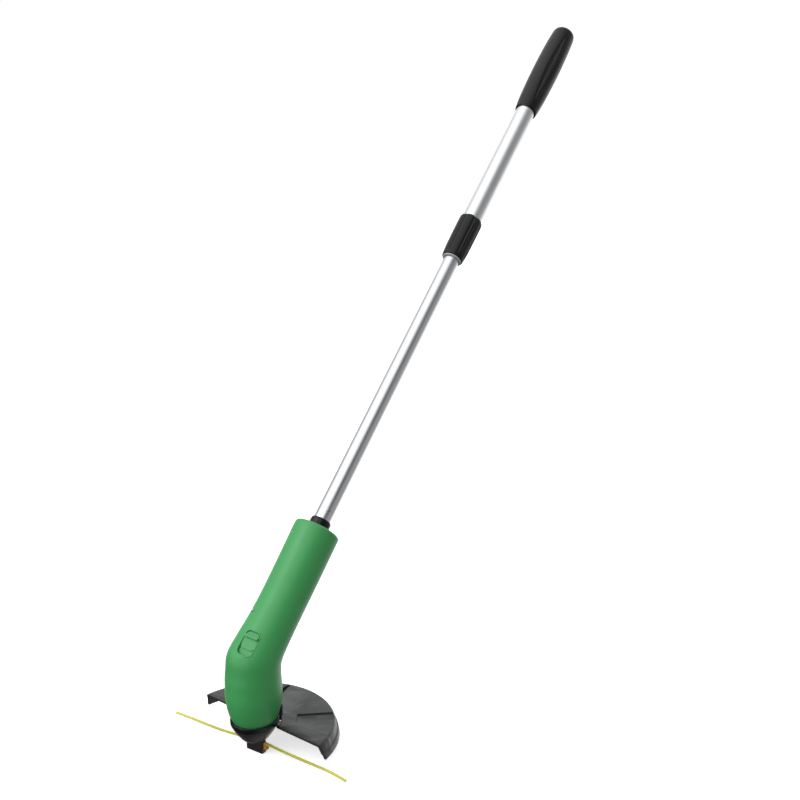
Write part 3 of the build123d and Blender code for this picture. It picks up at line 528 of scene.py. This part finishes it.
def strap(name, route, pitch):
    """A flat strap along (x, z) points in mm, with a toothed track on its upper side."""
    points = rows_between(route, pitch)
    bpy.ops.object.select_all(action="DESELECT")
    bpy.ops.mesh.primitive_plane_add(size=1 * MM, rotation=(0, pi / 2, 0),
                                     location=(points[0][0] * MM, STRAP_Y * MM, points[0][1] * MM))
    piece = bpy.context.object
    piece.name = name
    bpy.ops.object.transform_apply(location=True, rotation=True, scale=True)
    bpy.ops.object.mode_set(mode="EDIT")
    bpy.ops.mesh.select_all(action="SELECT")
    bpy.ops.transform.resize(value=(1, STRAP_W, STRAP_T))
    for (x0, z0), (x1, z1) in zip(points, points[1:]):
        bpy.ops.mesh.extrude_region_move(TRANSFORM_OT_translate={"value": ((x1 - x0) * MM, 0, (z1 - z0) * MM)})
    bpy.ops.transform.resize(value=STRAP_TIP)
    bpy.ops.object.mode_set(mode="OBJECT")
    clean(piece)
    select_faces(piece, lambda face: face.normal.z > 0.8)
    bpy.ops.mesh.inset(thickness=0.25 * MM, depth=-0.28 * MM, use_individual=True)
    bpy.ops.object.mode_set(mode="OBJECT")
    round_edges(piece, 0.18 * MM, 2, 60, 50)
    return piece


def tie_head(name, x, z, height, window_front):
    """The square head of a tie, with its window towards +X or -X."""
    bpy.ops.object.select_all(action="DESELECT")
    bpy.ops.mesh.primitive_cube_add(size=1 * MM, location=(x * MM, STRAP_Y * MM, z * MM))
    piece = bpy.context.object
    piece.name = name
    bpy.ops.object.transform_apply(location=True, rotation=True, scale=True)
    bpy.ops.object.mode_set(mode="EDIT")
    bpy.ops.mesh.select_all(action="SELECT")
    bpy.ops.transform.resize(value=(*HEAD_SIZE, height))
    bpy.ops.object.mode_set(mode="OBJECT")
    way = 1 if window_front else -1
    select_faces(piece, lambda face: face.normal.x * way > 0.9)
    bpy.ops.mesh.inset(thickness=0.75 * MM, depth=0)
    bpy.ops.mesh.inset(thickness=0.1 * MM, depth=-1.3 * MM)
    bpy.ops.object.mode_set(mode="OBJECT")
    round_edges(piece, 0.45 * MM, 3, 60, 50)
    return piece


class TRIMMER_OT_cable_ties(bpy.types.Operator):
    """Model the two cable ties with toothed straps and square heads"""
    bl_idname = "trimmer.cable_ties"
    bl_label = "Cable ties"

    def execute(self, context):
        pitch = context.scene.trimmer_sizes.tooth / MM
        colours = context.scene.trimmer_colours
        # Nylon 6/6, moulded thick: the dye deepens to amber.
        amber = moulded("Dyed moulded nylon amber", colours.tie_thick, linear("B8700E"), 0.28, 0.5, 0.02,
                        sheen_patch=3, **{"Subsurface Weight": 0.2, "Subsurface Scale": 0.002})
        front = [(13.0, 10.15), (0, 10.15), (-13, 9.95), (-25, 8.6), (-47, 6.6), (-73, 5.9), (-98, 6.0),
                 (-121.2, 5.2)]
        back = [(-8.0, 11.45), (0, 11.45), (15, 11.45), (27, 10.6), (51, 9.4), (80, 8.8), (100, 8.2), (121.2, 5.0)]
        for name, route, head_x, head_z, head_height, node in (
                ("tie_front", front, 14.65, 7.7, 5.5, "cable_tie_front"),
                ("tie_back", back, -7.7, 12.75, 3.6, "cable_tie_back")):
            band = strap(name + "_strap", route, pitch)
            head = tie_head(name + "_head", head_x, head_z, head_height, head_x > 0)
            for piece in (band, head):
                place(piece, LINE)
                give_finish(piece, "yellow_nylon")
                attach(piece, "spindle")
            head.data.materials.clear()
            head.data.materials.append(amber)
            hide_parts(node)
        return {"FINISHED"}


class TRIMMER_OT_guard(bpy.types.Operator):
    """Soften the moulded edges of the guard and of the line block"""
    bl_idname = "trimmer.guard"
    bl_label = "Guard and line block"

    def execute(self, context):
        edge = context.scene.trimmer_sizes.edge
        guard = softened_copy("guard", "guard_moulded", edge)
        settle(guard, "head", "guard_moulding", "guard")
        block = softened_copy("spindle_block", "line_block", edge)
        settle(block, "spindle", "spindle_moulding", "spindle_block")
        return {"FINISHED"}


SWITCH_TURN = radians(15.5)
SWITCH_MID = 10.5
SWITCH_SIZE = (26.5, 17.4)  # along the pole and across it
RIM_OUT = 0.55              # how far the bead's centre line stands outside the recess
RIM_R = 0.75
RIM_SUNK = 0.35
RIM_CORNER = 5.0 + RIM_OUT


class TRIMMER_OT_switch_rim(bpy.types.Operator):
    """Lay the soft raised bead that runs round the switch recess"""
    bl_idname = "trimmer.switch_rim"
    bl_label = "Switch rim"

    def execute(self, context):
        out = (OUTWARD * cos(SWITCH_TURN) + SIDE * sin(SWITCH_TURN)).normalized()
        across = out.cross(ALONG)
        shells = [frame["nodes"][n] for n in ("housing_left", "housing_right")]
        long, wide = (size / 2 + RIM_OUT - RIM_CORNER for size in SWITCH_SIZE)
        points = []
        for quarter in range(4):
            middle = Vector(((long, -long, -long, long)[quarter], (wide, wide, -wide, -wide)[quarter]))
            for k in range(9):
                angle = (quarter + k / 8) * pi / 2
                a = middle.x + RIM_CORNER * cos(angle) + SWITCH_MID
                b = middle.y + RIM_CORNER * sin(angle)
                start = ELBOW + (ALONG * a + across * b + out * 45) * MM
                hits = [shell.ray_cast(start, -out) for shell in shells]
                found = [hit[1] for hit in hits if hit[0]]
                if not found:
                    raise RuntimeError("The bead round the switch misses the housing")
                points.append(max(found, key=out.dot) - out * RIM_SUNK * MM)
        line = bpy.data.curves.new("switch_rim", "CURVE")
        line.dimensions = "3D"
        spline = line.splines.new("NURBS")
        spline.points.add(len(points) - 1)
        for target, point in zip(spline.points, points):
            target.co = (*point, 1)
        spline.use_cyclic_u = True
        spline.order_u = 3
        spline.resolution_u = 3
        line.bevel_depth = RIM_R * MM
        line.bevel_resolution = 4
        rim = bpy.data.objects.new("switch_rim", line)
        context.scene.collection.objects.link(rim)
        alone(rim)
        bpy.ops.object.convert(target="MESH")
        rim = context.object
        clean(rim)
        smooth(rim, 60)
        give_finish(rim, "green_abs")
        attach(rim, "head")
        return {"FINISHED"}


class TRIMMER_OT_finishes(bpy.types.Operator):
    """Give every CAD part the finish of its record slot"""
    bl_idname = "trimmer.finishes"
    bl_label = "Finishes"

    def execute(self, context):
        MATERIALS.update(make_materials(context.scene.trimmer_colours))
        for part in frame["record"]["subparts"]:
            give_finish(frame["nodes"][part["node"]], part["material_slot"])
        return {"FINISHED"}


def area_light(name, place_at, aim, size, power):
    """A square light of that size in metres, turned towards its aim."""
    bpy.ops.object.light_add(type="AREA", location=place_at)
    light = bpy.context.object
    light.name = name
    light.data.shape = "SQUARE"
    light.data.size = size
    light.data.energy = power
    light.rotation_euler = (Vector(aim) - Vector(place_at)).to_track_quat("-Z", "Y").to_euler()


KEY_PLACE = (-0.75, -1.4, 1.7)
KEY_AIM = (0, 0.3, 0.4)
KEY_SIZE = 1.0
KEY_POWER = 9
ROOM_LIGHT = 0.06
SOFT_LIGHTS = (             # direction, cosine at the rim and at the full level, and the level
    ((-0.242, -0.715, 0.656), 0.28, 0.90, 1.30),
    ((0.643, 0.565, -0.518), 0.1, 0.85, 0.34),
    ((0.0, 0.0, 1.0), 0.3, 0.95, 0.40),
    ((-0.45, 0.88, 0.05), 0.30, 0.95, 1.0),
)


FLOOR_SIZE = 30
FLOOR_DROP = 0.0005         # keeps the sheet clear of the object's foot
FLOOR_GLOW = 0.62


def lay_floor():
    """A wide white sheet that takes a soft shadow and throws no light back onto the object."""
    bpy.ops.object.select_all(action="DESELECT")
    bpy.ops.mesh.primitive_plane_add(size=FLOOR_SIZE, location=(0, 0, -FLOOR_DROP))
    floor = bpy.context.object
    floor.name = "studio_floor"
    bpy.ops.object.transform_apply(location=True, rotation=True, scale=True)
    # Matt painted board, rolled: an even white that takes a soft shadow.
    paint, tree, shader = new_material("Rolled matt paint, white")
    spot = put(tree, "ShaderNodeTexCoord").outputs["Object"]
    nap = put(tree, "ShaderNodeTexNoise", {"Vector": spot, "Scale": 120.0, "Detail": 3.0})
    bump = put(tree, "ShaderNodeBump", {"Height": nap.outputs["Fac"], "Strength": 0.05, "Distance": 0.0002})
    tree.links.new(bump.outputs["Normal"], shader.inputs["Normal"])
    shader.inputs["Base Color"].default_value = rgba(linear("F4F4F4"))
    shader.inputs["Roughness"].default_value = 0.9
    shader.inputs["Emission Color"].default_value = (1, 1, 1, 1)
    shader.inputs["Emission Strength"].default_value = FLOOR_GLOW
    # The sheet is seen from above only, so that it never hides the object's underside.
    under = put(tree, "ShaderNodeNewGeometry").outputs["Backfacing"]
    gone = put(tree, "ShaderNodeBsdfTransparent")
    one_sided = put(tree, "ShaderNodeMixShader", {0: under, 1: shader.outputs["BSDF"], 2: gone.outputs["BSDF"]})
    output = next(n for n in tree.nodes if n.type == "OUTPUT_MATERIAL")
    tree.links.new(one_sided.outputs["Shader"], output.inputs["Surface"])
    floor.data.materials.append(paint)
    floor.visible_diffuse = False
    floor.visible_glossy = False


def light_room(scene):
    """White to the camera. The object gets a low even light and a few broad soft lobes."""
    world = bpy.data.worlds.new("Studio")
    scene.world = world
    world.use_nodes = True
    sky = world.node_tree
    sky.nodes.clear()
    way = put(sky, "ShaderNodeTexCoord").outputs["Generated"]
    level = ROOM_LIGHT
    for axis, edge, core, strength in SOFT_LIGHTS:
        facing = put(sky, "ShaderNodeVectorMath", {0: way, 1: Vector(axis).normalized()}, operation="DOT_PRODUCT")
        lobe = put(sky, "ShaderNodeMapRange", {"Value": facing.outputs["Value"], "From Min": edge,
                                               "From Max": core, "To Min": 0.0, "To Max": strength},
                   interpolation_type="SMOOTHSTEP")
        level = put(sky, "ShaderNodeMath", {0: lobe.outputs["Result"], 1: level}, operation="ADD").outputs["Value"]
    seen = put(sky, "ShaderNodeLightPath").outputs["Is Camera Ray"]
    shown = put(sky, "ShaderNodeMath", {0: level, 1: seen}, operation="MAXIMUM").outputs["Value"]
    light = put(sky, "ShaderNodeBackground", {"Color": (1, 1, 1, 1), "Strength": shown})
    put(sky, "ShaderNodeOutputWorld", {"Surface": light.outputs["Background"]})


CAMERA_PLACE = (0.69803, -0.65321, 0.60083)
CAMERA_TILT = radians(77.37)
CAMERA_HEADING = radians(37.45)
CAMERA_LENS = 43.47


class TRIMMER_OT_stage(bpy.types.Operator):
    """Build the pale floor and backdrop, the soft lights and the camera"""
    bl_idname = "trimmer.stage"
    bl_label = "Stage"

    def execute(self, context):
        scene = context.scene
        scene.view_settings.view_transform = "Standard"
        lay_floor()
        light_room(scene)
        area_light("key", KEY_PLACE, KEY_AIM, KEY_SIZE, KEY_POWER)
        bpy.ops.object.camera_add(location=CAMERA_PLACE, rotation=(CAMERA_TILT, 0, CAMERA_HEADING))
        camera = bpy.context.object
        camera.name = "camera"
        camera.data.lens = CAMERA_LENS
        camera.data.sensor_width = 36
        scene.camera = camera
        return {"FINISHED"}


STEPS = (TRIMMER_OT_finishes, TRIMMER_OT_grip, TRIMMER_OT_collar, TRIMMER_OT_cable_ties, TRIMMER_OT_guard,
         TRIMMER_OT_switch_rim, TRIMMER_OT_stage)


class TRIMMER_PT_panel(bpy.types.Panel):
    """Sidebar panel with the sizes, colours and steps of the trimmer"""
    bl_label = "String trimmer"
    bl_idname = "TRIMMER_PT_panel"
    bl_space_type = "VIEW_3D"
    bl_region_type = "UI"
    bl_category = "Trimmer"

    def draw(self, context):
        for group in (context.scene.trimmer_sizes, context.scene.trimmer_colours):
            box = self.layout.box()
            for name in group.__annotations__:
                box.prop(group, name)
        for step in STEPS:
            self.layout.operator(step.bl_idname)


CLASSES = (TrimmerColours, TrimmerSizes, *STEPS, TRIMMER_PT_panel)


def register():
    for cls in CLASSES:
        bpy.utils.register_class(cls)
    bpy.types.Scene.trimmer_colours = bpy.props.PointerProperty(type=TrimmerColours)
    bpy.types.Scene.trimmer_sizes = bpy.props.PointerProperty(type=TrimmerSizes)


def unregister():
    del bpy.types.Scene.trimmer_colours
    del bpy.types.Scene.trimmer_sizes
    for cls in reversed(CLASSES):
        bpy.utils.unregister_class(cls)


def main():
    register()
    for step in STEPS:
        group, name = step.bl_idname.split(".")
        getattr(getattr(bpy.ops, group), name)()


if __name__ == "__main__":
    main()
